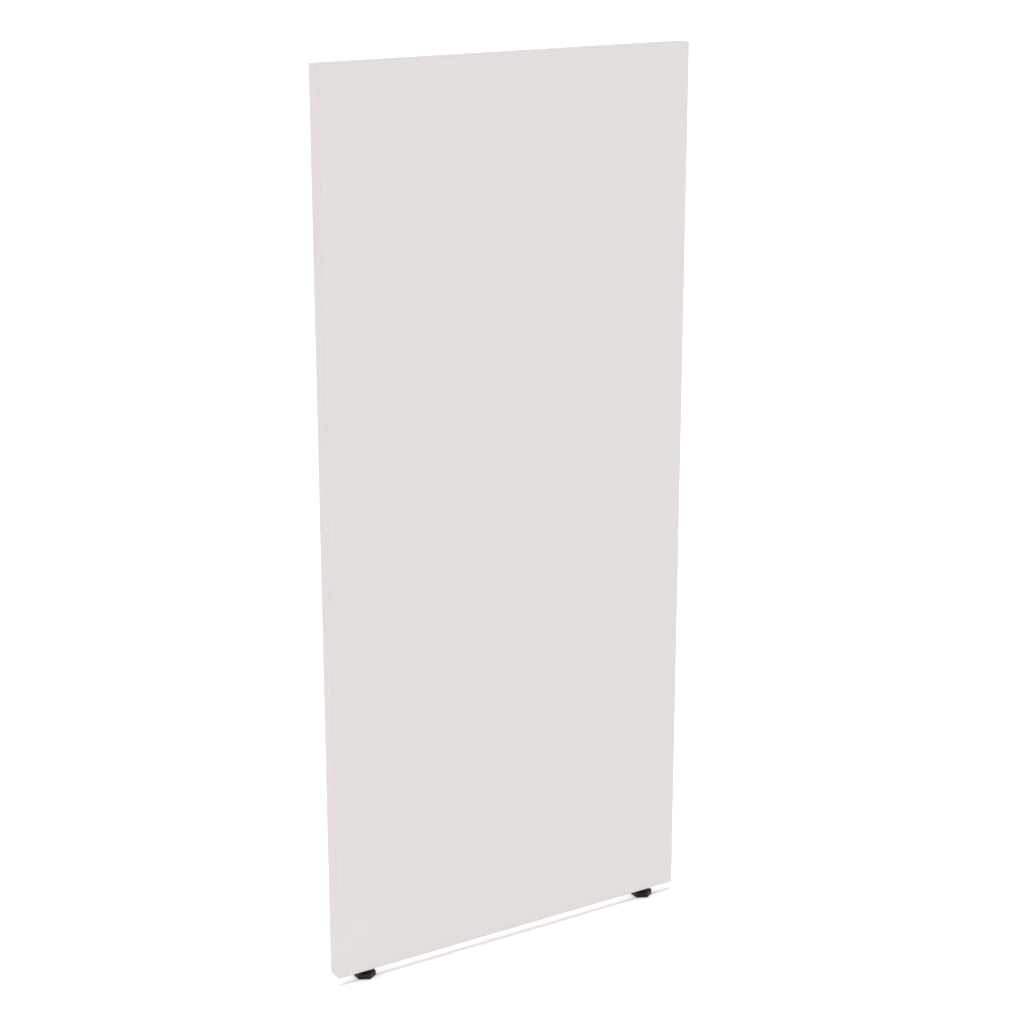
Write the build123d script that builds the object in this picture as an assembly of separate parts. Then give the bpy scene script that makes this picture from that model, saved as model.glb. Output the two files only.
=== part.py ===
from build123d import *
from math import pi
import os

# Floor-standing divider panel: a board on a timber frame, on two screw feet.
# Millimetres. X runs along the panel, Y through it with the front face at -Y, and Z up.
# The origin is on the floor, under the middle of the panel.

# The board, over its edge bands
board_width = 800
board_height = 1750
board_thickness = 32
floor_gap = 18

# The sheets that face the board
laminate_thickness = 0.8
skin_thickness = 3.2

# The bands glued round the board's four edges
edge_band_thickness = 1
edge_band_rounding = 0.4

# The timber frame between the skins
stile_width = 50
top_rail_height = 50
middle_rail_height = 80
bottom_rail_height = 90
middle_rail_height_share = 0.5

# The sound-damping slabs that fill the frame
infill_gap = 0.3

# The dowels that join the stiles to the rails, two at each joint
dowel_diameter = 8
dowel_length = 50
dowel_chamfer = 1
dowel_glue_gap = 0.05
dowel_end_gap = 1
dowel_spacing_share = 0.5

# The steel insert nuts in the bottom rail, one over each foot
foot_inset = 66.5
insert_length = 25
insert_barrel_diameter = 12
insert_barb_height = 0.8
insert_barb_count = 5
insert_flange_diameter = 19
insert_flange_thickness = 1.5
insert_fit_gap = 0.1

# The studs: hex-head screws, head down, with a plain shank at the thread's outer size
stud_diameter = 8
stud_shank_length = 50
stud_tip_chamfer = 1
stud_head_across_flats = 13
stud_head_height = 5.3
stud_head_chamfer = 0.4
stud_running_gap = 0.05
stud_tip_room = 2
stud_side_room = 1

# The hexagonal bases, moulded with a round neck that stops against the board
base_across_flats = 38
base_top_height = 11
base_corner_rounding = 0.8
base_edge_rounding = 0.5
neck_diameter = 12
neck_root_rounding = 0.8
neck_stop_gap = 0.2
head_pocket_gap = 0.05

# The floor glides, which snap in under the bases and stay still while the bases turn
glide_diameter = 34
glide_thickness = 3
glide_proud = 1
glide_edge_rounding = 0.6
glide_side_play = 0.2
glide_end_play = 0.1
snap_ring_diameter = 24
snap_ring_wall = 1.5
snap_ring_height = 4
snap_bead_height = 0.5
snap_bead_width = 1
snap_slot_width = 3
snap_slot_count = 4

# How far every cut runs past the face it opens
overrun = 5

# How closely an edge's length has to match a circle's for it to be that circle
ring_match_share = 0.001

# Sizes worked out from the ones above
board_bottom = floor_gap
board_top = board_bottom + board_height
core_left = -board_width / 2 + edge_band_thickness
core_right = board_width / 2 - edge_band_thickness
core_bottom = board_bottom + edge_band_thickness
core_top = board_top - edge_band_thickness
frame_thickness = board_thickness - 2 * (laminate_thickness + skin_thickness)
bottom_rail_top = core_bottom + bottom_rail_height
top_rail_bottom = core_top - top_rail_height
bay_left = core_left + stile_width
bay_right = core_right - stile_width
middle_rail_centre = bottom_rail_top + (top_rail_bottom - bottom_rail_top) * middle_rail_height_share
middle_rail_bottom = middle_rail_centre - middle_rail_height / 2
middle_rail_top = middle_rail_centre + middle_rail_height / 2
foot_positions = {
    "left": -board_width / 2 + foot_inset,
    "right": board_width / 2 - foot_inset,
}
insert_barb_diameter = insert_barrel_diameter + 2 * insert_barb_height
pocket_ceiling = glide_thickness + glide_end_play + stud_head_height
stud_tip = pocket_ceiling + stud_shank_length
recess_ceiling = glide_thickness + glide_end_play
snap_ring_inner_diameter = snap_ring_diameter - 2 * snap_ring_wall
snap_bead_diameter = snap_ring_diameter + 2 * snap_bead_height
snap_bead_centre = glide_thickness + snap_ring_height - snap_bead_width


def block(left, right, front, back, bottom, top):
    """A box between two corners."""
    size = (right - left, back - front, top - bottom)
    middle = ((left + right) / 2, (front + back) / 2, (bottom + top) / 2)
    return Pos(*middle) * Box(*size)


def upright_cylinder(diameter, bottom, top, x=0):
    """A cylinder on a vertical axis, between two heights."""
    return Pos(x, 0, (bottom + top) / 2) * Cylinder(diameter / 2, top - bottom)


def upright_tube(outer_diameter, inner_diameter, bottom, top):
    """A tube on the vertical axis, between two heights."""
    bore = upright_cylinder(inner_diameter, bottom - overrun, top + overrun)
    return upright_cylinder(outer_diameter, bottom, top) - bore


def hexagon_prism(across_flats, bottom, top):
    """An upright hexagonal prism with two corners on the Y axis."""
    outline = Pos(0, 0, bottom) * RegularPolygon(across_flats / 2, 6, major_radius=False, rotation=30)
    return extrude(outline, amount=top - bottom)


def is_ring(edge, diameter):
    """Whether an edge is a full circle of a diameter."""
    return edge.geom_type == GeomType.CIRCLE and abs(edge.length / (pi * diameter) - 1) < ring_match_share


def front_sheet(inner_depth, thickness):
    """A sheet over the whole front of the core, from a depth ahead of the mid-plane outwards."""
    return block(core_left, core_right, -inner_depth - thickness, -inner_depth, core_bottom, core_top)


def back_sheet(inner_depth, thickness):
    """A sheet over the whole back of the core, from a depth behind the mid-plane outwards."""
    return block(core_left, core_right, inner_depth, inner_depth + thickness, core_bottom, core_top)


def facing_sheets():
    """The skins on the frame and the laminates on the skins."""
    skin_depth = frame_thickness / 2
    laminate_depth = skin_depth + skin_thickness
    return {
        "front_skin": front_sheet(skin_depth, skin_thickness),
        "back_skin": back_sheet(skin_depth, skin_thickness),
        "front_laminate": front_sheet(laminate_depth, laminate_thickness),
        "back_laminate": back_sheet(laminate_depth, laminate_thickness),
    }


def rounded_band(band, outer_face):
    """An edge band with the long edges of its outer face rounded."""
    face = band.faces().sort_by(outer_face)[-1]
    longest = max(edge.length for edge in face.edges())
    long_edges = [edge for edge in face.edges() if edge.length > longest / 2]
    return fillet(long_edges, edge_band_rounding)


def edge_bands():
    """Side bands over the whole height, with the top and bottom bands between them."""
    front = -board_thickness / 2
    back = board_thickness / 2
    left = block(-board_width / 2, core_left, front, back, board_bottom, board_top)
    right = block(core_right, board_width / 2, front, back, board_bottom, board_top)
    top = block(core_left, core_right, front, back, core_top, board_top)
    bottom = block(core_left, core_right, front, back, board_bottom, core_bottom)
    bottom = rounded_band(bottom, -Axis.Z)
    for x in foot_positions.values():
        hole_diameter = insert_flange_diameter + 2 * insert_fit_gap
        bottom -= upright_cylinder(hole_diameter, board_bottom - overrun, core_bottom + overrun, x)
    return {
        "left_edge_band": rounded_band(left, -Axis.X),
        "right_edge_band": rounded_band(right, Axis.X),
        "top_edge_band": rounded_band(top, Axis.Z),
        "bottom_edge_band": bottom,
    }


def dowel(length, diameter):
    """A cylinder on the vertical axis, centred on the origin."""
    return Cylinder(diameter / 2, length)


def dowel_places():
    """The middle of each dowel, and whether it lies along X."""
    places = []
    for stile_left in (core_left, bay_right):
        stile_middle = stile_left + stile_width / 2
        for side in (-1, 1):
            x = stile_middle + side * stile_width * dowel_spacing_share / 2
            places.append(((x, 0, bottom_rail_top), False))
            places.append(((x, 0, top_rail_bottom), False))
    for x in (bay_left, bay_right):
        for side in (-1, 1):
            z = middle_rail_centre + side * middle_rail_height * dowel_spacing_share / 2
            places.append(((x, 0, z), True))
    return places


def placed_dowel(shape, place, lies_along_x):
    """A dowel or its bore, moved to one of the joints."""
    turned = Rot(0, 90, 0) * shape if lies_along_x else shape
    return Pos(*place) * turned


def dowels():
    """Every dowel of the frame, as separate pegs with chamfered ends."""
    peg = dowel(dowel_length, dowel_diameter)
    peg = chamfer(peg.edges().filter_by(GeomType.CIRCLE), dowel_chamfer)
    return Compound(children=[placed_dowel(peg, place, flat) for place, flat in dowel_places()])


def bored_for_dowels(member):
    """A frame member with the dowels' bores cut in it."""
    bore = dowel(dowel_length + 2 * dowel_end_gap, dowel_diameter + 2 * dowel_glue_gap)
    for place, lies_along_x in dowel_places():
        member -= placed_dowel(bore, place, lies_along_x)
    return member


def frame_member(left, right, bottom, top):
    """A stile or a rail, bored for its dowels."""
    front = -frame_thickness / 2
    return bored_for_dowels(block(left, right, front, -front, bottom, top))


def bottom_rail():
    """The bottom rail, bored for the insert nuts and for the studs that pass through them."""
    rail = frame_member(core_left, core_right, core_bottom, bottom_rail_top)
    for x in foot_positions.values():
        flange_seat = board_bottom + insert_flange_thickness
        flange_hole = insert_flange_diameter + 2 * insert_fit_gap
        rail -= upright_cylinder(flange_hole, board_bottom - overrun, flange_seat, x)
        barrel_hole = insert_barb_diameter + 2 * insert_fit_gap
        rail -= upright_cylinder(barrel_hole, board_bottom - overrun, board_bottom + insert_length, x)
        stud_hole = stud_diameter + 2 * stud_side_room
        rail -= upright_cylinder(stud_hole, board_bottom - overrun, stud_tip + stud_tip_room, x)
    return rail


def frame_members():
    """The stiles stand between the top and bottom rails, and carry the middle rail."""
    return {
        "left_stile": frame_member(core_left, bay_left, bottom_rail_top, top_rail_bottom),
        "right_stile": frame_member(bay_right, core_right, bottom_rail_top, top_rail_bottom),
        "top_rail": frame_member(core_left, core_right, top_rail_bottom, core_top),
        "middle_rail": frame_member(bay_left, bay_right, middle_rail_bottom, middle_rail_top),
        "bottom_rail": bottom_rail(),
        "frame_dowels": dowels(),
    }


def infill(bottom, top):
    """A slab that fills one bay of the frame and touches both skins."""
    front = -frame_thickness / 2
    left = bay_left + infill_gap
    right = bay_right - infill_gap
    return block(left, right, front, -front, bottom + infill_gap, top - infill_gap)


def infill_slabs():
    """One slab in each bay."""
    return {
        "upper_infill": infill(middle_rail_top, top_rail_bottom),
        "lower_infill": infill(bottom_rail_top, middle_rail_bottom),
    }


def insert_nut():
    """A flanged nut with barbed rings that bite the rail, on the vertical axis."""
    bottom = board_bottom
    top = board_bottom + insert_length
    nut = upright_cylinder(insert_barrel_diameter, bottom, top)
    nut += upright_cylinder(insert_flange_diameter, bottom, bottom + insert_flange_thickness)
    barb_pitch = (insert_length - insert_flange_thickness) / insert_barb_count
    for number in range(insert_barb_count):
        barb_bottom = bottom + insert_flange_thickness + number * barb_pitch
        barb = Cone(insert_barb_diameter / 2, insert_barrel_diameter / 2, barb_pitch)
        nut += Pos(0, 0, barb_bottom + barb_pitch / 2) * barb
    bore_diameter = stud_diameter + 2 * stud_running_gap
    return nut - upright_cylinder(bore_diameter, bottom - overrun, top + overrun)


def foot_stud():
    """A hex-head screw with its head in the base and its shank up in the insert nut."""
    head = hexagon_prism(stud_head_across_flats, recess_ceiling, pocket_ceiling)
    head = chamfer(head.faces().sort_by(Axis.Z)[0].edges(), stud_head_chamfer)
    shank = upright_cylinder(stud_diameter, pocket_ceiling, stud_tip)
    shank = chamfer(shank.faces().sort_by(Axis.Z)[-1].edges(), stud_tip_chamfer)
    return head + shank


def snap_groove():
    """The hollow in a base that takes the glide's snap ring and its bead."""
    top = glide_thickness + snap_ring_height + glide_end_play
    outer = snap_ring_diameter + 2 * glide_side_play
    inner = snap_ring_inner_diameter - 2 * glide_side_play
    groove = upright_tube(outer, inner, recess_ceiling - glide_end_play, top)
    bead_room = snap_bead_width / 2 + glide_end_play
    bead_groove = upright_tube(
        snap_bead_diameter + 2 * glide_side_play,
        inner,
        snap_bead_centre - bead_room,
        snap_bead_centre + bead_room,
    )
    return groove + bead_groove


def foot_base():
    """The hexagonal base with its neck, hollowed for the stud's head and the glide."""
    base = hexagon_prism(base_across_flats, glide_proud, base_top_height)
    base = fillet(base.edges().filter_by(Axis.Z), base_corner_rounding)
    rims = base.faces().sort_by(Axis.Z)[-1].edges() + base.faces().sort_by(Axis.Z)[0].edges()
    base = fillet(rims, base_edge_rounding)
    base += upright_cylinder(neck_diameter, base_top_height, floor_gap - neck_stop_gap)
    neck_rings = base.edges().filter_by(lambda edge: is_ring(edge, neck_diameter))
    neck_root = neck_rings.sort_by(Axis.Z)[0]
    base = fillet(neck_root, neck_root_rounding)
    recess_diameter = glide_diameter + 2 * glide_side_play
    base -= upright_cylinder(recess_diameter, glide_proud - overrun, recess_ceiling)
    base -= snap_groove()
    pocket_size = stud_head_across_flats + 2 * head_pocket_gap
    base -= hexagon_prism(pocket_size, glide_proud, pocket_ceiling)
    bore_diameter = stud_diameter + 2 * head_pocket_gap
    return base - upright_cylinder(bore_diameter, glide_proud, floor_gap + overrun)


def foot_glide():
    """The round floor pad with its split snap ring."""
    pad = upright_cylinder(glide_diameter, 0, glide_thickness)
    pad = fillet(pad.faces().sort_by(Axis.Z)[0].edges(), glide_edge_rounding)
    ring_top = glide_thickness + snap_ring_height
    ring = upright_tube(snap_ring_diameter, snap_ring_inner_diameter, glide_thickness, ring_top)
    ring += upright_tube(
        snap_bead_diameter,
        snap_ring_inner_diameter,
        snap_bead_centre - snap_bead_width / 2,
        snap_bead_centre + snap_bead_width / 2,
    )
    slot_side = snap_slot_width / 2
    slot = block(0, snap_bead_diameter, -slot_side, slot_side, glide_thickness, ring_top + overrun)
    for number in range(snap_slot_count):
        ring -= Rot(0, 0, 360 * number / snap_slot_count) * slot
    return pad + ring


def feet():
    """One insert nut, stud, base and glide at each end."""
    makers = {
        "insert_nut": insert_nut,
        "foot_stud": foot_stud,
        "foot_base": foot_base,
        "foot_glide": foot_glide,
    }
    pieces = {}
    for side, x in foot_positions.items():
        for name, make in makers.items():
            pieces[f"{side}_{name}"] = Pos(x, 0, 0) * make()
    return pieces


def main():
    """Write one file for each piece."""
    os.makedirs("parts", exist_ok=True)
    pieces = facing_sheets() | edge_bands() | frame_members() | infill_slabs() | feet()
    for name, shape in pieces.items():
        export_step(shape, f"parts/{name}.step")


main()
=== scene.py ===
import math

import bmesh
import bpy
from bpy.props import FloatProperty, FloatVectorProperty, IntProperty, PointerProperty
from mathutils import Matrix, Vector


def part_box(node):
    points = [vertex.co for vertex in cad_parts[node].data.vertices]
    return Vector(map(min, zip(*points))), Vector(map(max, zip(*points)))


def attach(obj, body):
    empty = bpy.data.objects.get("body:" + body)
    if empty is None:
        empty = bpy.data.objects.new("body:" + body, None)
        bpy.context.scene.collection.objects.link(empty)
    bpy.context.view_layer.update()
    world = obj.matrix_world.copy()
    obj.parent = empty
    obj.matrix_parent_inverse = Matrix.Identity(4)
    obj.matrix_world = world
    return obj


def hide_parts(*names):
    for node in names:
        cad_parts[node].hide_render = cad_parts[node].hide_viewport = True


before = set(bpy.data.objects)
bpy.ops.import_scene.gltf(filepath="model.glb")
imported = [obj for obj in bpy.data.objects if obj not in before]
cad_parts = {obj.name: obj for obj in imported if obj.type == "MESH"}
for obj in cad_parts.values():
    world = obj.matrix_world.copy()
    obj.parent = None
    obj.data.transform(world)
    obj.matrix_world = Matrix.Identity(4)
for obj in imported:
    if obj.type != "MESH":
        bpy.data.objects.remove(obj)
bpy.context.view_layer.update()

bl_info = {
    "name": "Divider Panel Finishes",
    "version": (1, 0, 0),
    "blender": (4, 5, 0),
    "location": "View3D > Sidebar > Divider",
    "description": "Dresses a laminated divider board and its two hexagonal screw feet",
    "category": "Object",
}

SIDES = ("left", "right")
BOARD_BODY = "panel"

# The bevel round a laminate sheet's hidden face, next to the one round its outer face
INNER_ARRIS_SHARE = 0.25

# Sizes of a foot that the boxes of its nodes don't give, in metres
HEXAGON_HEIGHT = 0.010
NECK_RADIUS = 0.006
NECK_ROOT_ROUNDING = 0.0008
NECK_LIP_ROUNDING = 0.0003
SIDE_PLAY = 0.0002
SNAP_RING_RADIUS = 0.012
SNAP_RING_WALL = 0.0015
SNAP_RING_HEIGHT = 0.004
SNAP_BEAD_HEIGHT = 0.0005
SNAP_BEAD_TOP = 0.0035
SNAP_BEAD_ROOM = 0.0012
POCKET_GAP = 0.00005
STUD_RADIUS = 0.004
STUD_HEAD_HEIGHT = 0.0053
STUD_TIP_CHAMFER = 0.001
STUD_NECK_LENGTH = 0.0015
HEAD_CORNER_ROUNDING = 0.00005

# The slope of the chamfer on a stud's head, and the radius of its flat face next to the distance to its sides
HEAD_CHAMFER_ANGLE = math.radians(30.0)
HEAD_FACE_SHARE = 0.95

# The rounding in the corners of the pocket for the stud's head, next to the one on the base's own corners
POCKET_ROUNDING_SHARE = 0.25

# One turn of the thread, in shares of its pitch and of its depth, which is 0 at the crest and 1 at the root
THREAD_PROFILE_SHARES = (
    (0.0, 1.0),
    (0.085, 1.0),
    (0.26, 0.5),
    (0.4375, 0.0),
    (0.5625, 0.0),
    (0.74, 0.5),
    (0.915, 1.0),
)

# The number of a hexagon's sides, and the angles that a side and half a side take up round its middle
HEXAGON_SIDES = 6
SIDE_ANGLE = math.pi / 3.0
HALF_SIDE_ANGLE = math.pi / 6.0

# Steps over a base's sides and corners, the roundings in a section, and the chamfer of a stud's head
SIDE_STEPS = 10
CORNER_STEPS = 5
ROUNDING_STEPS = 4
HEAD_CHAMFER_STEPS = 5

# How close points lie that count as one, next to a rounding, the pocket's gap and the thread's pitch
RIM_NEARNESS_SHARE = 0.01
BASE_NEARNESS_SHARE = 0.01
THREAD_NEARNESS_SHARE = 0.002

# Edges that turn by more than this stay crisp
SHARP_ANGLE = math.radians(35.0)

# How strongly a piece's large faces set its shading, from 1 to 100
LARGE_FACE_WEIGHT = 100

# The range that holds nearly all of a noise's values
NOISE_RANGE = (0.3, 0.7)

# How patterns are drawn out: the grain of rails and stiles, the marks along the bands and round the steel
RAIL_GRAIN = (0.04, 1.0, 1.0)
STILE_GRAIN = (1.0, 1.0, 0.04)
SCRAPER_MARKS = (0.02, 1.0, 0.02)
TURNING_MARKS = (0.05, 0.05, 1.0)

# Colours inside the board
PALE_PINE = (0.62, 0.45, 0.27, 1.0)
DARK_PINE = (0.45, 0.28, 0.14, 1.0)
BEECH = (0.66, 0.50, 0.32, 1.0)
PALE_SKIN = (0.30, 0.20, 0.12, 1.0)
DARK_SKIN = (0.22, 0.14, 0.08, 1.0)
PALE_INFILL = (0.42, 0.30, 0.19, 1.0)
DARK_INFILL = (0.33, 0.23, 0.14, 1.0)

# The directions in which the far lamps stand, how large they look, and how far away their holders are
TOP_LAMP_DIRECTION = (-0.2, -0.1, 1.0)
FLOOR_LAMP_DIRECTION = (-0.1, 1.0, 0.9)
FAR_LAMP_ANGLE = math.radians(2.0)
FAR_LAMP_DISTANCE = 5.0

# The lamp on the floor in front: its place, and its size along the board and away from it
LOW_LAMP_PLACE = (0.0, -0.315, 0.005)
LOW_LAMP_WIDTH = 0.8
LOW_LAMP_REACH = 0.578

# Steps round the studio's floor, the background's colour, and the width of the camera's sensor in millimetres
FLOOR_STEPS = 96
WHITE = (1.0, 1.0, 1.0, 1.0)
SENSOR_WIDTH = 36.0


class BoardSettings(bpy.types.PropertyGroup):
    """Sizes and colours of the board's faces and edges"""

    laminate_colour: FloatVectorProperty(
        name="Laminate",
        description="Colour of the two faces",
        subtype="COLOR",
        size=4,
        min=0.0,
        max=1.0,
        default=(0.767, 0.732, 0.7225, 1.0),
    )
    # The edge bands' colour is the faces' white made darker: painted shade that offsets the stronger light on
    # the end faces
    shaded_edging_colour: FloatVectorProperty(
        name="Edging",
        description="Colour of the four edge bands",
        subtype="COLOR",
        size=4,
        min=0.0,
        max=1.0,
        default=(0.7215, 0.6785, 0.671, 1.0),
    )
    arris: FloatProperty(
        name="Laminate arris",
        description="Width of the bevel filed along the rim of each laminate sheet",
        unit="LENGTH",
        default=0.00008,
        min=0.0,
    )
    band_rounding: FloatProperty(
        name="Band rounding",
        description="Radius of the outer corners of the edge bands",
        unit="LENGTH",
        default=0.0004,
        min=0.0,
    )
    glue_line: FloatProperty(
        name="Glue line",
        description="Width of the hairline where a band meets the faces",
        unit="LENGTH",
        default=0.00005,
        min=0.0,
    )
    grain_size: FloatProperty(
        name="Grain",
        description="Width of one dimple of the laminate's pressed grain",
        unit="LENGTH",
        default=0.0009,
        min=0.0001,
    )


class FootSettings(bpy.types.PropertyGroup):
    """Sizes and colours of the screw feet"""

    moulding_colour: FloatVectorProperty(
        name="Moulding",
        description="Colour of the hexagonal bases",
        subtype="COLOR",
        size=4,
        min=0.0,
        max=1.0,
        default=(0.0075, 0.0065, 0.0072, 1.0),
    )
    glide_colour: FloatVectorProperty(
        name="Glide",
        description="Colour of the floor glides",
        subtype="COLOR",
        size=4,
        min=0.0,
        max=1.0,
        default=(0.035, 0.034, 0.036, 1.0),
    )
    steel_colour: FloatVectorProperty(
        name="Zinc plate",
        description="Colour of the studs and the insert nuts",
        subtype="COLOR",
        size=4,
        min=0.0,
        max=1.0,
        default=(0.60, 0.61, 0.63, 1.0),
    )
    corner_rounding: FloatProperty(
        name="Corner rounding",
        description="Radius of the six upright corners of a base",
        unit="LENGTH",
        default=0.0008,
        min=0.0001,
    )
    rim_rounding: FloatProperty(
        name="Rim rounding",
        description="Radius along the top and bottom rims of a base",
        unit="LENGTH",
        default=0.0005,
        min=0.0001,
    )
    draft: FloatProperty(
        name="Draft",
        description="How far each side of a base leans in from bottom to top",
        unit="LENGTH",
        default=0.0002,
        min=0.0,
    )
    thread_pitch: FloatProperty(
        name="Thread pitch",
        description="Height of one turn of the stud's thread",
        unit="LENGTH",
        default=0.00125,
        min=0.0005,
    )
    thread_depth: FloatProperty(
        name="Thread depth",
        description="Depth of the stud's thread",
        unit="LENGTH",
        default=0.00077,
        min=0.0001,
    )
    thread_steps: IntProperty(
        name="Thread steps",
        description="Number of faces round one turn of the thread, a multiple of twelve",
        default=48,
        min=12,
    )


class StageSettings(bpy.types.PropertyGroup):
    """The camera, the lamps and the floor"""

    camera_place: FloatVectorProperty(
        name="Camera place",
        description="Where the camera stands",
        subtype="TRANSLATION",
        size=3,
        default=(-2.3077, -3.6097, 2.1675),
    )
    camera_turn: FloatProperty(
        name="Camera turn",
        description="How far the camera's view is turned from square on, towards the right",
        subtype="ANGLE",
        default=math.radians(32.7),
    )
    camera_tilt: FloatProperty(
        name="Camera tilt",
        description="How far the camera looks down",
        subtype="ANGLE",
        default=math.radians(16.55),
    )
    camera_lens: FloatProperty(
        name="Lens",
        description="Focal length, in millimetres, on a 36 mm wide sensor",
        unit="CAMERA",
        default=81.58,
        min=1.0,
    )
    floor_reach: FloatProperty(
        name="Floor reach",
        description="Distance from the middle of the floor to its rim",
        unit="LENGTH",
        default=60.0,
        min=1.0,
    )
    floor_colour: FloatVectorProperty(
        name="Floor",
        description="Colour of the floor",
        subtype="COLOR",
        size=4,
        min=0.0,
        max=1.0,
        default=(0.90, 0.90, 0.90, 1.0),
    )
    floor_glow: FloatProperty(
        name="Floor glow",
        description="Brightness that the floor adds where it is seen, so that only its deepest shadow shows",
        default=0.205,
        min=0.0,
    )
    background_level: FloatProperty(
        name="Background",
        description="Brightness of the background where it is seen",
        default=1.0,
        min=0.0,
    )
    sky_level: FloatProperty(
        name="Sky light",
        description="Brightness of the light that comes from all round",
        default=0.792,
        min=0.0,
    )
    top_strength: FloatProperty(
        name="Top lamp",
        description="Strength of the far lamp above",
        default=0.75,
        min=0.0,
    )
    low_power: FloatProperty(
        name="Low lamp",
        description="Power of the soft lamp on the floor in front, which evens the lowest part of the board",
        subtype="POWER",
        default=0.355,
        min=0.0,
    )
    floor_strength: FloatProperty(
        name="Floor lamp",
        description="Strength of the far lamp behind, which lights the floor alone",
        default=1.3,
        min=0.0,
    )


def new_finish(name, roughness, metallic=0.0, specular=0.5):
    """A material with its node tree and its shader, and the uniform values set on the shader."""
    material = bpy.data.materials.new(name)
    material.use_nodes = True
    tree = material.node_tree
    shader = tree.nodes["Principled BSDF"]
    shader.inputs["Roughness"].default_value = roughness
    shader.inputs["Metallic"].default_value = metallic
    shader.inputs["Specular IOR Level"].default_value = specular
    return material, tree, shader


def surface_place(tree, stretch=(1.0, 1.0, 1.0)):
    """The place on the piece, in metres, stretched along the three axes."""
    coordinates = tree.nodes.new("ShaderNodeTexCoord")
    mapping = tree.nodes.new("ShaderNodeMapping")
    mapping.inputs["Scale"].default_value = stretch
    tree.links.new(coordinates.outputs["Object"], mapping.inputs["Vector"])
    return mapping.outputs["Vector"]


def noise(tree, place, size, detail, distortion=0.0):
    """Cloudy noise whose blobs are about that size, in metres."""
    texture = tree.nodes.new("ShaderNodeTexNoise")
    texture.inputs["Scale"].default_value = 1.0 / size
    texture.inputs["Detail"].default_value = detail
    texture.inputs["Distortion"].default_value = distortion
    tree.links.new(place, texture.inputs["Vector"])
    return texture.outputs["Fac"]


def cells(tree, place, size):
    """Rounded cells of about that size, in metres."""
    texture = tree.nodes.new("ShaderNodeTexVoronoi")
    texture.feature = "SMOOTH_F1"
    texture.inputs["Scale"].default_value = 1.0 / size
    tree.links.new(place, texture.inputs["Vector"])
    return texture.outputs["Distance"]


def spread(tree, value, within=NOISE_RANGE, over=(0.0, 1.0)):
    """The value, stretched from within one range over another and held inside it."""
    node = tree.nodes.new("ShaderNodeMapRange")
    node.inputs["From Min"].default_value = within[0]
    node.inputs["From Max"].default_value = within[1]
    node.inputs["To Min"].default_value = over[0]
    node.inputs["To Max"].default_value = over[1]
    tree.links.new(value, node.inputs["Value"])
    return node.outputs["Result"]


def shaded(colour, share):
    """The colour times a share, with its alpha kept."""
    return (colour[0] * share, colour[1] * share, colour[2] * share, colour[3])


def blend_colours(tree, factor, first, second):
    """A mix of two colours, each of them a socket or a plain colour."""
    node = tree.nodes.new("ShaderNodeMix")
    node.data_type = "RGBA"
    tree.links.new(factor, node.inputs["Factor"])
    for name, colour in (("A", first), ("B", second)):
        socket = next(item for item in node.inputs if item.name == name and item.type == "RGBA")
        if isinstance(colour, bpy.types.NodeSocket):
            tree.links.new(colour, socket)
        else:
            socket.default_value = colour
    return next(item for item in node.outputs if item.type == "RGBA")


def vary_roughness(tree, shader, value, smoothest, dullest, within=NOISE_RANGE):
    """Roughness that follows a value."""
    roughness = spread(tree, value, within=within, over=(smoothest, dullest))
    tree.links.new(roughness, shader.inputs["Roughness"])


def relief(tree, shader, height, depth, strength):
    """Bumps of that depth, in metres, over the ones that the surface has already."""
    bump = tree.nodes.new("ShaderNodeBump")
    bump.inputs["Distance"].default_value = depth
    bump.inputs["Strength"].default_value = strength
    tree.links.new(height, bump.inputs["Height"])
    for link in shader.inputs["Normal"].links:
        tree.links.new(link.from_socket, bump.inputs["Normal"])
    tree.links.new(bump.outputs["Normal"], shader.inputs["Normal"])


def laminate_finish(board):
    """White laminate with a fine pressed grain, faint clouds and tiny pale flecks."""
    material, tree, shader = new_finish("white_laminate", roughness=0.5, specular=0.35)
    place = surface_place(tree)
    clouds = spread(tree, noise(tree, place, size=0.35, detail=2.0))
    flecks = spread(tree, noise(tree, place, size=0.0014, detail=2.0), within=(0.56, 0.7))
    colour = tuple(board.laminate_colour)
    clouded = blend_colours(tree, clouds, shaded(colour, share=0.992), colour)
    flecked = blend_colours(tree, flecks, clouded, shaded(colour, share=1.02))
    tree.links.new(flecked, shader.inputs["Base Color"])
    grain = noise(tree, place, size=board.grain_size, detail=4.0)
    vary_roughness(tree, shader, grain, smoothest=0.44, dullest=0.56)
    waves = noise(tree, place, size=0.12, detail=1.0)
    relief(tree, shader, grain, depth=0.00004, strength=0.6)
    relief(tree, shader, waves, depth=0.0002, strength=0.05)
    return material


def edging_finish(board):
    """White edge banding, a little smoother than the faces, with fine scraper marks along it. Its colour is a
    darker copy of the faces' white: painted shade that offsets the stronger light on the end faces.
    """
    material, tree, shader = new_finish("white_edging", roughness=0.45, specular=0.35)
    place = surface_place(tree)
    clouds = spread(tree, noise(tree, place, size=0.2, detail=2.0))
    # Painted shade: the bands take a darker copy of the faces' white
    colour = tuple(board.shaded_edging_colour)
    clouded = blend_colours(tree, clouds, shaded(colour, share=0.988), colour)
    tree.links.new(clouded, shader.inputs["Base Color"])
    scrapes = noise(tree, surface_place(tree, SCRAPER_MARKS), size=0.0006, detail=2.0)
    grain = noise(tree, place, size=board.grain_size, detail=3.0)
    vary_roughness(tree, shader, scrapes, smoothest=0.4, dullest=0.52)
    relief(tree, shader, scrapes, depth=0.00002, strength=0.25)
    relief(tree, shader, grain, depth=0.00002, strength=0.2)
    return material


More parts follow.
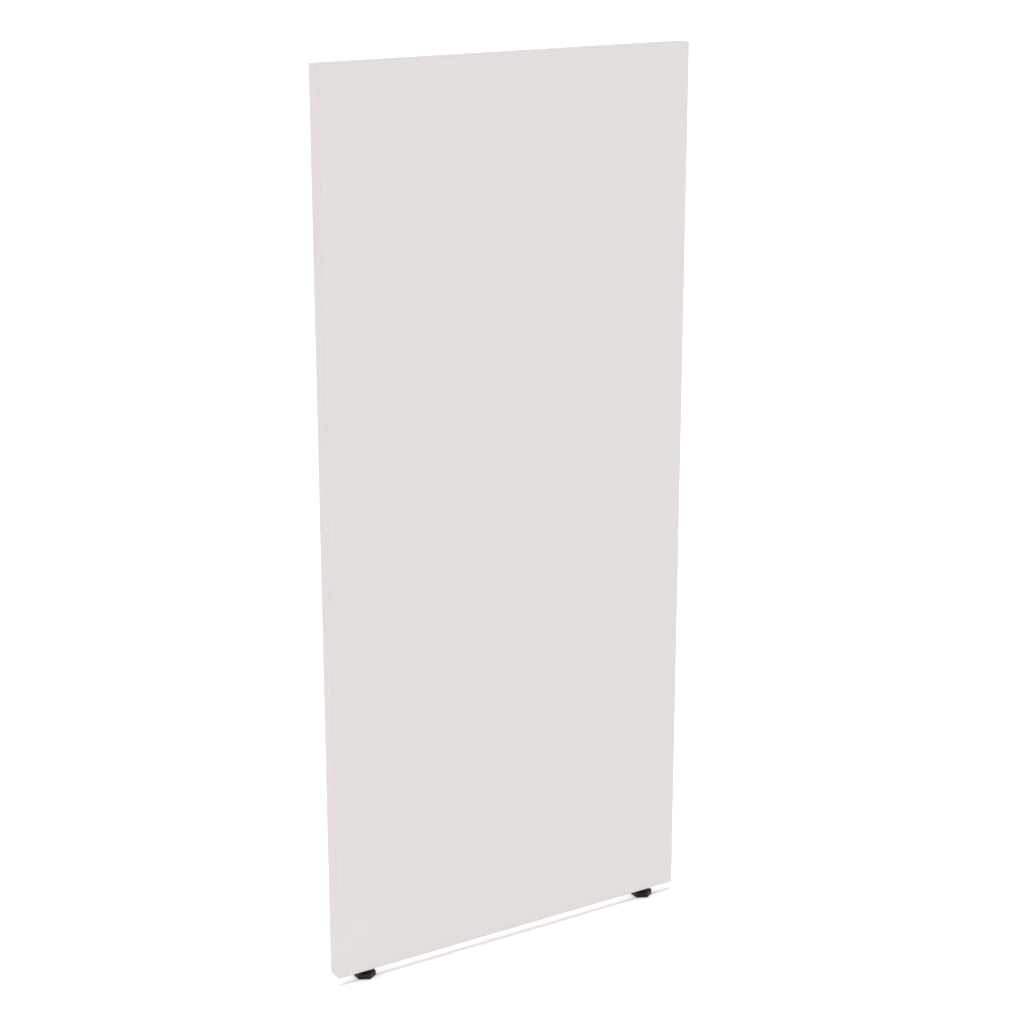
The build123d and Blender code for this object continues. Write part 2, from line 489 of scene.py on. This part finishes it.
def moulding_finish(foot):
    """Black moulded plastic with a spark-eroded grain and a little dust in soft patches."""
    material, tree, shader = new_finish("black_moulding", roughness=0.5, specular=0.22)
    place = surface_place(tree)
    grain = cells(tree, place, size=0.0004)
    clouds = noise(tree, place, size=0.006, detail=4.0)
    colour = tuple(foot.moulding_colour)
    dust = spread(tree, clouds, within=(0.45, 0.75))
    dusted = blend_colours(tree, dust, colour, shaded(colour, share=1.35))
    tree.links.new(dusted, shader.inputs["Base Color"])
    vary_roughness(tree, shader, clouds, smoothest=0.42, dullest=0.56)
    relief(tree, shader, grain, depth=0.00003, strength=0.4)
    return material


def glide_finish(foot):
    """Dark grey nylon, duller than the bases and lightly scuffed."""
    material, tree, shader = new_finish("dark_glide", roughness=0.6, specular=0.3)
    place = surface_place(tree)
    scuffs = noise(tree, place, size=0.0015, detail=5.0, distortion=0.6)
    colour = tuple(foot.glide_colour)
    wear = spread(tree, scuffs, within=(0.5, 0.75))
    worn = blend_colours(tree, wear, colour, shaded(colour, share=1.6))
    tree.links.new(worn, shader.inputs["Base Color"])
    vary_roughness(tree, shader, scuffs, smoothest=0.5, dullest=0.7)
    relief(tree, shader, scuffs, depth=0.00003, strength=0.3)
    return material


def steel_finish(foot):
    """Zinc-plated steel with a faint crystalline mottle and turning marks round it."""
    material, tree, shader = new_finish("zinc_steel", roughness=0.32, metallic=1.0)
    place = surface_place(tree)
    mottle = noise(tree, place, size=0.0025, detail=5.0)
    turning = noise(tree, surface_place(tree, TURNING_MARKS), size=0.0001, detail=2.0)
    colour = tuple(foot.steel_colour)
    bloom = spread(tree, mottle, within=(0.35, 0.7))
    plated = blend_colours(tree, bloom, shaded(colour, share=0.85), colour)
    tree.links.new(plated, shader.inputs["Base Color"])
    vary_roughness(tree, shader, mottle, smoothest=0.24, dullest=0.4)
    relief(tree, shader, turning, depth=0.00001, strength=0.3)
    return material


def pine_finish(name, grain):
    """Planed pine, its pattern drawn out along the grain."""
    material, tree, shader = new_finish(name, roughness=0.6, specular=0.3)
    place = surface_place(tree, grain)
    rings = noise(tree, place, size=0.006, detail=3.0, distortion=1.2)
    fibres = noise(tree, place, size=0.0006, detail=4.0)
    ringed = blend_colours(tree, spread(tree, rings, within=(0.4, 0.62)), PALE_PINE, DARK_PINE)
    fibred = blend_colours(tree, spread(tree, fibres), ringed, shaded(PALE_PINE, share=0.8))
    tree.links.new(fibred, shader.inputs["Base Color"])
    vary_roughness(tree, shader, rings, smoothest=0.5, dullest=0.7)
    relief(tree, shader, fibres, depth=0.00005, strength=0.4)
    return material


def beech_finish():
    """Turned beech with the small dark flecks that it shows on every side."""
    material, tree, shader = new_finish("dowel_wood", roughness=0.55, specular=0.3)
    place = surface_place(tree)
    flecks = spread(tree, noise(tree, place, size=0.0008, detail=3.0), within=(0.55, 0.7))
    clouds = spread(tree, noise(tree, place, size=0.008, detail=2.0), within=(0.35, 0.65))
    clouded = blend_colours(tree, clouds, BEECH, shaded(BEECH, share=0.88))
    flecked = blend_colours(tree, flecks, clouded, shaded(BEECH, share=0.6))
    tree.links.new(flecked, shader.inputs["Base Color"])
    vary_roughness(tree, shader, clouds, smoothest=0.5, dullest=0.62, within=(0.0, 1.0))
    relief(tree, shader, flecks, depth=0.00004, strength=0.3)
    return material


def fibre_finish(name, size, pale, dark):
    """Pressed fibreboard, mottled at the size of its fibres."""
    material, tree, shader = new_finish(name, roughness=0.85, specular=0.2)
    place = surface_place(tree)
    fibres = noise(tree, place, size=size, detail=6.0, distortion=1.5)
    patches = noise(tree, place, size=size * 12.0, detail=2.0)
    mottled = blend_colours(tree, spread(tree, fibres, within=(0.35, 0.65)), pale, dark)
    patching = spread(tree, patches, within=(0.4, 0.8))
    patched = blend_colours(tree, patching, mottled, shaded(dark, share=1.1))
    tree.links.new(patched, shader.inputs["Base Color"])
    vary_roughness(tree, shader, fibres, smoothest=0.75, dullest=0.95)
    relief(tree, shader, fibres, depth=size / 4.0, strength=0.5)
    return material


def new_piece(name, mesh, finish, node, body):
    """Make a piece of the mesh. It stands for a node, rides on its body and takes its slot's finish."""
    bmesh.ops.recalc_face_normals(mesh, faces=mesh.faces)
    for face in mesh.faces:
        face.smooth = True
    data = bpy.data.meshes.new(name)
    mesh.to_mesh(data)
    mesh.free()
    data.set_sharp_from_angle(angle=SHARP_ANGLE)
    data.materials.append(finish)
    piece = bpy.data.objects.new(name, data)
    bpy.context.scene.collection.objects.link(piece)
    # The large faces set the shading, so that they look flat right up to their rounded rims
    weighting = piece.modifiers.new("flat_faces", "WEIGHTED_NORMAL")
    weighting.weight = LARGE_FACE_WEIGHT
    weighting.keep_sharp = True
    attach(piece, body)
    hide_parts(node)


def refinish(node, finish):
    """Give a node that stays in view a better material."""
    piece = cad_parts[node]
    if not piece.material_slots:
        raise RuntimeError(f"{node} has no material slot")
    for slot in piece.material_slots:
        slot.material = finish


def ease_rim(mesh, outward, reach, radius, steps):
    """Round the edges round the face that lies furthest along a direction."""
    nearly = reach - radius * RIM_NEARNESS_SHARE
    edges = [edge for edge in mesh.edges if all(corner.co.dot(outward) > nearly for corner in edge.verts)]
    bmesh.ops.bevel(mesh, geom=edges, offset=radius, segments=steps, profile=0.5, affect="EDGES")


def covering_mesh(node, outward, outer_radius, inner_radius):
    """A covering sheet or band over a node's box, its outer rim rounded and its inner rim eased."""
    low, high = (Vector(corner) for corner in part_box(node))
    mesh = bmesh.new()
    placed = Matrix.Translation((low + high) / 2) @ Matrix.Diagonal((*(high - low), 1.0))
    bmesh.ops.create_cube(mesh, size=1.0, matrix=placed)
    outer_reach = max(low.dot(outward), high.dot(outward))
    inner_reach = max(low.dot(-outward), high.dot(-outward))
    ease_rim(mesh, outward, outer_reach, outer_radius, ROUNDING_STEPS)
    ease_rim(mesh, -outward, inner_reach, inner_radius, 1)
    return mesh


def hexagon_reach(angle, apothem, rounding):
    """Distance from the middle to the side of a hexagon with rounded corners, two of them on the Y axis."""
    from_side = (angle + HALF_SIDE_ANGLE) % SIDE_ANGLE - HALF_SIDE_ANGLE
    side_end = (apothem - rounding) * math.tan(HALF_SIDE_ANGLE)
    if apothem * math.tan(abs(from_side)) <= side_end:
        return apothem / math.cos(from_side)
    from_corner = HALF_SIDE_ANGLE - abs(from_side)
    arc_centre = (apothem - rounding) / math.cos(HALF_SIDE_ANGLE)
    offset = arc_centre * math.sin(from_corner)
    return arc_centre * math.cos(from_corner) + math.sqrt(rounding ** 2 - offset ** 2)


def hexagon_angles(apothem, rounding):
    """Angles round a base: evenly over each side, and closely over each rounded corner."""
    side_end = math.atan((apothem - rounding) * math.tan(HALF_SIDE_ANGLE) / apothem)
    side_sweep = 2.0 * side_end
    corner_sweep = SIDE_ANGLE - side_sweep
    angles = []
    for side in range(HEXAGON_SIDES):
        side_start = side * SIDE_ANGLE - side_end
        angles += [side_start + side_sweep * step / SIDE_STEPS for step in range(SIDE_STEPS)]
        corner_start = side * SIDE_ANGLE + side_end
        angles += [corner_start + corner_sweep * step / CORNER_STEPS for step in range(CORNER_STEPS)]
    return angles


def rounding_points(centre, radius, start, sweep):
    """Points of a rounding in a section: distances from the axis and heights. The angles are in degrees."""
    across, height = centre
    turns = [math.radians(start + sweep * step / ROUNDING_STEPS) for step in range(ROUNDING_STEPS + 1)]
    return [(across + radius * math.cos(turn), height + radius * math.sin(turn)) for turn in turns]


def circle_ring(radius, height, angles):
    """A level circle, as points round the Z axis."""
    return [(radius * math.cos(angle), radius * math.sin(angle), height) for angle in angles]


def hexagon_ring(apothem, rounding, height, angles):
    """A level hexagon, as points round the Z axis."""
    points = []
    for angle in angles:
        reach = hexagon_reach(angle, apothem, rounding)
        points.append((reach * math.cos(angle), reach * math.sin(angle), height))
    return points


def skin_rings(mesh, rings):
    """Faces between rings with the same number of points. Gives back the rings' corners."""
    rows = [[mesh.verts.new(point) for point in ring] for ring in rings]
    for lower, upper in zip(rows, rows[1:]):
        for index, corner in enumerate(lower):
            after = (index + 1) % len(lower)
            mesh.faces.new((corner, lower[after], upper[after], upper[index]))
    return rows


def foot_sizes(side):
    """Sizes of a foot, from the boxes of its nodes."""
    base_low, base_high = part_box(f"{side}_foot_base")
    glide_low, glide_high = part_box(f"{side}_foot_glide")
    stud_low, stud_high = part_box(f"{side}_foot_stud")
    return {
        "middle": (base_low[0] + base_high[0]) / 2.0,
        "apothem": (base_high[0] - base_low[0]) / 2.0,
        "bottom": base_low[2],
        "neck_top": base_high[2],
        "glide_radius": (glide_high[0] - glide_low[0]) / 2.0,
        "glide_top": glide_high[2] - SNAP_RING_HEIGHT,
        "head_apothem": (stud_high[0] - stud_low[0]) / 2.0,
        "head_bottom": stud_low[2],
        "tip": stud_high[2],
    }


def base_outside(foot, size, angles):
    """Rings of a base from its underside up its sides, over its top and up its neck."""
    rim = foot.rim_rounding
    bottom = size["bottom"]
    top = bottom + HEXAGON_HEIGHT
    lower_centre = (size["apothem"] - rim, bottom + rim)
    upper_centre = (size["apothem"] - rim - foot.draft, top - rim)
    section = rounding_points(lower_centre, rim, start=-90.0, sweep=90.0)
    section += rounding_points(upper_centre, rim, start=0.0, sweep=90.0)
    rings = [hexagon_ring(across, foot.corner_rounding, height, angles) for across, height in section]
    root = NECK_ROOT_ROUNDING
    lip = NECK_LIP_ROUNDING
    root_centre = (NECK_RADIUS + root, top + root)
    lip_centre = (NECK_RADIUS - lip, size["neck_top"] - lip)
    section = rounding_points(root_centre, root, start=270.0, sweep=-90.0)
    section += rounding_points(lip_centre, lip, start=0.0, sweep=90.0)
    return rings + [circle_ring(across, height, angles) for across, height in section]


def base_inside(foot, size, angles):
    """Rings of a base from its top down the bore, the stud's pocket, the snap groove and the recess."""
    roof = size["head_bottom"]
    pocket_roof = roof + STUD_HEAD_HEIGHT
    bore = STUD_RADIUS + POCKET_GAP
    pocket = size["head_apothem"] + POCKET_GAP
    pocket_rounding = foot.corner_rounding * POCKET_ROUNDING_SHARE
    groove_inner = SNAP_RING_RADIUS - SNAP_RING_WALL - SIDE_PLAY
    groove_outer = SNAP_RING_RADIUS + SIDE_PLAY
    groove_roof = roof + SNAP_RING_HEIGHT
    bead_outer = groove_outer + SNAP_BEAD_HEIGHT
    bead_top = size["glide_top"] + SNAP_BEAD_TOP + SIDE_PLAY / 2.0
    bead_bottom = bead_top - SNAP_BEAD_ROOM
    recess = size["glide_radius"] + SIDE_PLAY
    rings = [circle_ring(bore, height, angles) for height in (size["neck_top"], pocket_roof)]
    rings += [hexagon_ring(pocket, pocket_rounding, height, angles) for height in (pocket_roof, roof)]
    section = [
        (groove_inner, roof),
        (groove_inner, groove_roof),
        (groove_outer, groove_roof),
        (groove_outer, bead_top),
        (bead_outer, bead_top),
        (bead_outer, bead_bottom),
        (groove_outer, bead_bottom),
        (groove_outer, roof),
        (recess, roof),
        (recess, size["bottom"]),
    ]
    return rings + [circle_ring(across, height, angles) for across, height in section]


def base_mesh(foot, size):
    """A hexagonal base with its neck, hollow underneath for the glide and the stud's head."""
    angles = hexagon_angles(size["apothem"], foot.corner_rounding)
    rings = base_outside(foot, size, angles) + base_inside(foot, size, angles)
    mesh = bmesh.new()
    skin_rings(mesh, rings + rings[:1])
    bmesh.ops.remove_doubles(mesh, verts=mesh.verts, dist=POCKET_GAP * BASE_NEARNESS_SHARE)
    bmesh.ops.translate(mesh, verts=mesh.verts, vec=(size["middle"], 0.0, 0.0))
    return mesh


def thread_depth_share(turns):
    """How deep the thread is cut after a number of turns, 0 at the crest and 1 at the root."""
    place = turns % 1.0
    next_turn = (1.0, THREAD_PROFILE_SHARES[0][1])
    following = (*THREAD_PROFILE_SHARES[1:], next_turn)
    for (start, start_depth), (end, end_depth) in zip(THREAD_PROFILE_SHARES, following):
        if start <= place <= end:
            return start_depth + (end_depth - start_depth) * (place - start) / (end - start)
    raise RuntimeError("the thread's profile has a gap")


def thread_point(foot, height, angle, start, tip):
    """A point on the threaded shank: plain at the neck, then threaded, with a chamfered tip."""
    root_radius = STUD_RADIUS - foot.thread_depth
    turns = (height - start) / foot.thread_pitch - angle / math.tau
    cut = STUD_RADIUS - foot.thread_depth * thread_depth_share(turns)
    grown = min(1.0, (height - start) / foot.thread_pitch)
    radius = root_radius + (cut - root_radius) * grown
    radius = min(radius, STUD_RADIUS - STUD_TIP_CHAMFER + tip - height)
    return (radius * math.cos(angle), radius * math.sin(angle), height)


def add_thread(mesh, foot, start, tip):
    """A helical thread between two heights. Its rows climb one pitch a turn and are held at both ends."""
    steps = foot.thread_steps
    pitch = foot.thread_pitch
    turns = math.ceil((tip - start) / pitch)
    climb_shares = [climb for climb, _ in THREAD_PROFILE_SHARES]
    climbs = [turn + climb for turn in range(-1, turns) for climb in climb_shares] + [turns]
    rows = []
    for climb in climbs:
        row = []
        for step in range(steps + 1):
            height = min(max(start + pitch * (climb + step / steps), start), tip)
            point = thread_point(foot, height, math.tau * step / steps, start, tip)
            row.append(mesh.verts.new(point))
        rows.append(row)
    for lower, upper in zip(rows, rows[1:]):
        for step in range(steps):
            mesh.faces.new((lower[step], lower[step + 1], upper[step + 1], upper[step]))


def head_rings(size, angles):
    """Rings of a stud's head: a flat face, a turned chamfer that cuts its corners, its sides and its top."""
    apothem = size["head_apothem"]
    bottom = size["head_bottom"]
    face_radius = apothem * HEAD_FACE_SHARE
    corner_radius = apothem / math.cos(HALF_SIDE_ANGLE)
    chamfer_height = (corner_radius - face_radius) * math.tan(HEAD_CHAMFER_ANGLE)
    rings = []
    for step in range(HEAD_CHAMFER_STEPS + 1):
        height = bottom + chamfer_height * step / HEAD_CHAMFER_STEPS
        cone = face_radius + (corner_radius - face_radius) * step / HEAD_CHAMFER_STEPS
        ring = []
        for angle in angles:
            radius = min(hexagon_reach(angle, apothem, HEAD_CORNER_ROUNDING), cone)
            ring.append((radius * math.cos(angle), radius * math.sin(angle), height))
        rings.append(ring)
    rings.append(hexagon_ring(apothem, HEAD_CORNER_ROUNDING, bottom + STUD_HEAD_HEIGHT, angles))
    return rings


def stud_mesh(foot, size):
    """A hex-head stud with its head down, a short plain neck and a thread up to its chamfered tip."""
    steps = foot.thread_steps
    angles = [math.tau * step / steps for step in range(steps)]
    nearness = foot.thread_pitch * THREAD_NEARNESS_SHARE
    neck_radius = STUD_RADIUS - foot.thread_depth
    head_top = size["head_bottom"] + STUD_HEAD_HEIGHT
    start = head_top + STUD_NECK_LENGTH
    rings = head_rings(size, angles)
    rings += [circle_ring(neck_radius, height, angles) for height in (head_top, start)]
    mesh = bmesh.new()
    head_rows = skin_rings(mesh, rings)
    mesh.faces.new(head_rows[0])
    add_thread(mesh, foot, start, size["tip"])
    tip_ring = circle_ring(STUD_RADIUS - STUD_TIP_CHAMFER, size["tip"], angles)
    mesh.faces.new([mesh.verts.new(point) for point in tip_ring])
    bmesh.ops.remove_doubles(mesh, verts=mesh.verts, dist=nearness)
    bmesh.ops.dissolve_degenerate(mesh, edges=mesh.edges, dist=nearness)
    bmesh.ops.translate(mesh, verts=mesh.verts, vec=(size["middle"], 0.0, 0.0))
    return mesh


class DIVIDER_OT_faces(bpy.types.Operator):
    """Make the two laminate sheets, each with its filed arris"""

    bl_idname = "divider.faces"
    bl_label = "Laminate Faces"

    def execute(self, context):
        board = context.scene.divider_board
        finish = laminate_finish(board)
        inner_arris = board.arris * INNER_ARRIS_SHARE
        for side, outward in (("front", (0, -1, 0)), ("back", (0, 1, 0))):
            node = f"{side}_laminate"
            mesh = covering_mesh(node, Vector(outward), board.arris, inner_arris)
            new_piece(f"{side}_laminate_sheet", mesh, finish, node, BOARD_BODY)
        return {"FINISHED"}


class DIVIDER_OT_edges(bpy.types.Operator):
    """Make the edge bands, with rounded outer corners and a hairline where they meet the faces"""

    bl_idname = "divider.edges"
    bl_label = "Edge Bands"

    def execute(self, context):
        board = context.scene.divider_board
        finish = edging_finish(board)
        for side, outward in (("left", (-1, 0, 0)), ("right", (1, 0, 0)), ("top", (0, 0, 1))):
            node = f"{side}_edge_band"
            mesh = covering_mesh(node, Vector(outward), board.band_rounding, board.glue_line)
            new_piece(f"{side}_edge_strip", mesh, finish, node, BOARD_BODY)
        refinish("bottom_edge_band", finish)
        return {"FINISHED"}


class DIVIDER_OT_core(bpy.types.Operator):
    """Finish the frame, the skins and the infill inside the board"""

    bl_idname = "divider.core"
    bl_label = "Frame and Infill"

    def execute(self, context):
        rail_wood = pine_finish("rail_wood", RAIL_GRAIN)
        stile_wood = pine_finish("stile_wood", STILE_GRAIN)
        dowel_wood = beech_finish()
        skin_board = fibre_finish("skin_board", size=0.0012, pale=PALE_SKIN, dark=DARK_SKIN)
        soft_board = fibre_finish("soft_board", size=0.002, pale=PALE_INFILL, dark=DARK_INFILL)
        finishes = {
            "top_rail": rail_wood,
            "middle_rail": rail_wood,
            "bottom_rail": rail_wood,
            "left_stile": stile_wood,
            "right_stile": stile_wood,
            "frame_dowels": dowel_wood,
            "front_skin": skin_board,
            "back_skin": skin_board,
            "upper_infill": soft_board,
            "lower_infill": soft_board,
        }
        for node, finish in finishes.items():
            refinish(node, finish)
        return {"FINISHED"}


class DIVIDER_OT_bases(bpy.types.Operator):
    """Make the two hexagonal bases with their necks"""

    bl_idname = "divider.bases"
    bl_label = "Foot Bases"

    def execute(self, context):
        foot = context.scene.divider_foot
        finish = moulding_finish(foot)
        for side in SIDES:
            mesh = base_mesh(foot, foot_sizes(side))
            node = f"{side}_foot_base"
            new_piece(f"{side}_hexagon_base", mesh, finish, node, f"{side}_foot")
        return {"FINISHED"}


class DIVIDER_OT_studs(bpy.types.Operator):
    """Make the two threaded studs, and finish the insert nuts that hold them"""

    bl_idname = "divider.studs"
    bl_label = "Studs and Insert Nuts"

    def execute(self, context):
        foot = context.scene.divider_foot
        finish = steel_finish(foot)
        for side in SIDES:
            mesh = stud_mesh(foot, foot_sizes(side))
            node = f"{side}_foot_stud"
            new_piece(f"{side}_threaded_stud", mesh, finish, node, f"{side}_foot")
            refinish(f"{side}_insert_nut", finish)
        return {"FINISHED"}


class DIVIDER_OT_glides(bpy.types.Operator):
    """Finish the two floor glides"""

    bl_idname = "divider.glides"
    bl_label = "Floor Glides"

    def execute(self, context):
        finish = glide_finish(context.scene.divider_foot)
        for side in SIDES:
            refinish(f"{side}_foot_glide", finish)
        return {"FINISHED"}


def where_seen(tree):
    """1 where the camera, a reflection or a clear piece shows a surface, and 0 where it only gives light."""
    path = tree.nodes.new("ShaderNodeLightPath")
    seen = path.outputs["Is Camera Ray"]
    for name in ("Is Glossy Ray", "Is Transmission Ray"):
        larger = tree.nodes.new("ShaderNodeMath")
        larger.operation = "MAXIMUM"
        tree.links.new(seen, larger.inputs[0])
        tree.links.new(path.outputs[name], larger.inputs[1])
        seen = larger.outputs["Value"]
    return seen


def floor_finish(stage):
    """A matt pale floor that glows where it is seen, so that only its deepest shadow shows."""
    material = bpy.data.materials.new("studio_floor")
    material.use_nodes = True
    tree = material.node_tree
    tree.nodes.clear()
    output = tree.nodes.new("ShaderNodeOutputMaterial")
    matt = tree.nodes.new("ShaderNodeBsdfDiffuse")
    matt.inputs["Color"].default_value = stage.floor_colour
    glow = tree.nodes.new("ShaderNodeEmission")
    strength = spread(tree, where_seen(tree), within=(0.0, 1.0), over=(0.0, stage.floor_glow))
    tree.links.new(strength, glow.inputs["Strength"])
    both = tree.nodes.new("ShaderNodeAddShader")
    tree.links.new(matt.outputs["BSDF"], both.inputs[0])
    tree.links.new(glow.outputs["Emission"], both.inputs[1])
    tree.links.new(both.outputs["Shader"], output.inputs["Surface"])
    return material


def make_floor(stage):
    """A wide round floor under the feet."""
    mesh = bmesh.new()
    bmesh.ops.create_circle(mesh, cap_ends=True, segments=FLOOR_STEPS, radius=stage.floor_reach)
    data = bpy.data.meshes.new("studio_floor")
    mesh.to_mesh(data)
    mesh.free()
    data.materials.append(floor_finish(stage))
    floor = bpy.data.objects.new("studio_floor", data)
    bpy.context.scene.collection.objects.link(floor)
    return floor


def make_sky(stage):
    """Even light from all round, and a white background where it is seen."""
    world = bpy.data.worlds.new("studio_sky")
    bpy.context.scene.world = world
    world.use_nodes = True
    tree = world.node_tree
    background = tree.nodes["Background"]
    background.inputs["Color"].default_value = WHITE
    levels = (stage.sky_level, stage.background_level)
    strength = spread(tree, where_seen(tree), within=(0.0, 1.0), over=levels)
    tree.links.new(strength, background.inputs["Strength"])


def make_far_lamp(name, direction, strength):
    """A lamp far away in a direction from the object, whose light is as even as daylight's."""
    lamp = bpy.data.lights.new(name, "SUN")
    lamp.angle = FAR_LAMP_ANGLE
    lamp.energy = strength
    holder = bpy.data.objects.new(name, lamp)
    holder.location = Vector(direction).normalized() * FAR_LAMP_DISTANCE
    holder.rotation_euler = Vector(direction).to_track_quat("Z", "Y").to_euler()
    bpy.context.scene.collection.objects.link(holder)
    return holder


def make_low_lamp(power):
    """A soft lamp that lies on the floor in front, shines upwards and isn't seen itself."""
    lamp = bpy.data.lights.new("low_lamp", "AREA")
    lamp.shape = "RECTANGLE"
    lamp.size = LOW_LAMP_WIDTH
    lamp.size_y = LOW_LAMP_REACH
    lamp.energy = power
    holder = bpy.data.objects.new("low_lamp", lamp)
    holder.location = LOW_LAMP_PLACE
    holder.rotation_euler = Vector((0.0, 0.0, -1.0)).to_track_quat("Z", "Y").to_euler()
    holder.visible_camera = False
    bpy.context.scene.collection.objects.link(holder)


def light_only(holder, receiver):
    """Let a lamp light one object and no other."""
    lit = bpy.data.collections.new(f"{holder.name}_receivers")
    lit.objects.link(receiver)
    holder.light_linking.receiver_collection = lit


def make_camera(stage):
    """The camera of the reference view."""
    data = bpy.data.cameras.new("front_left_camera")
    data.lens = stage.camera_lens
    data.sensor_width = SENSOR_WIDTH
    camera = bpy.data.objects.new("front_left_camera", data)
    camera.location = stage.camera_place
    camera.rotation_euler = (math.pi / 2.0 - stage.camera_tilt, 0.0, -stage.camera_turn)
    bpy.context.scene.collection.objects.link(camera)
    bpy.context.scene.camera = camera


class DIVIDER_OT_stage(bpy.types.Operator):
    """Set the floor, the light and the camera"""

    bl_idname = "divider.stage"
    bl_label = "Studio"

    def execute(self, context):
        stage = context.scene.divider_stage
        floor = make_floor(stage)
        make_sky(stage)
        make_far_lamp("top_lamp", TOP_LAMP_DIRECTION, stage.top_strength)
        make_low_lamp(stage.low_power)
        behind = make_far_lamp("floor_lamp", FLOOR_LAMP_DIRECTION, stage.floor_strength)
        light_only(behind, floor)
        make_camera(stage)
        context.scene.view_settings.view_transform = "Standard"
        return {"FINISHED"}


class DIVIDER_PT_panel(bpy.types.Panel):
    """Buttons and settings for the divider panel"""

    bl_idname = "DIVIDER_PT_panel"
    bl_label = "Divider Panel"
    bl_space_type = "VIEW_3D"
    bl_region_type = "UI"
    bl_category = "Divider"

    def draw(self, context):
        layout = self.layout
        for operator in OPERATORS:
            layout.operator(operator.bl_idname)
        for group, settings in SETTINGS.items():
            box = layout.box()
            box.label(text=settings.__doc__)
            owner = getattr(context.scene, group)
            for name in settings.__annotations__:
                box.prop(owner, name)


SETTINGS = {
    "divider_board": BoardSettings,
    "divider_foot": FootSettings,
    "divider_stage": StageSettings,
}
OPERATORS = (
    DIVIDER_OT_faces,
    DIVIDER_OT_edges,
    DIVIDER_OT_core,
    DIVIDER_OT_bases,
    DIVIDER_OT_studs,
    DIVIDER_OT_glides,
    DIVIDER_OT_stage,
)


def register():
    """Add the settings, the operators and the panel."""
    for group, settings in SETTINGS.items():
        bpy.utils.register_class(settings)
        setattr(bpy.types.Scene, group, PointerProperty(type=settings))
    for operator in OPERATORS:
        bpy.utils.register_class(operator)
    bpy.utils.register_class(DIVIDER_PT_panel)


def unregister():
    """Take the panel, the operators and the settings away again."""
    bpy.utils.unregister_class(DIVIDER_PT_panel)
    for operator in reversed(OPERATORS):
        bpy.utils.unregister_class(operator)
    for group, settings in reversed(SETTINGS.items()):
        delattr(bpy.types.Scene, group)
        bpy.utils.unregister_class(settings)


def main():
    """Build every group of pieces and the studio round them."""
    register()
    bpy.ops.divider.faces()
    bpy.ops.divider.edges()
    bpy.ops.divider.core()
    bpy.ops.divider.bases()
    bpy.ops.divider.studs()
    bpy.ops.divider.glides()
    bpy.ops.divider.stage()


if __name__ == "__main__":
    main()
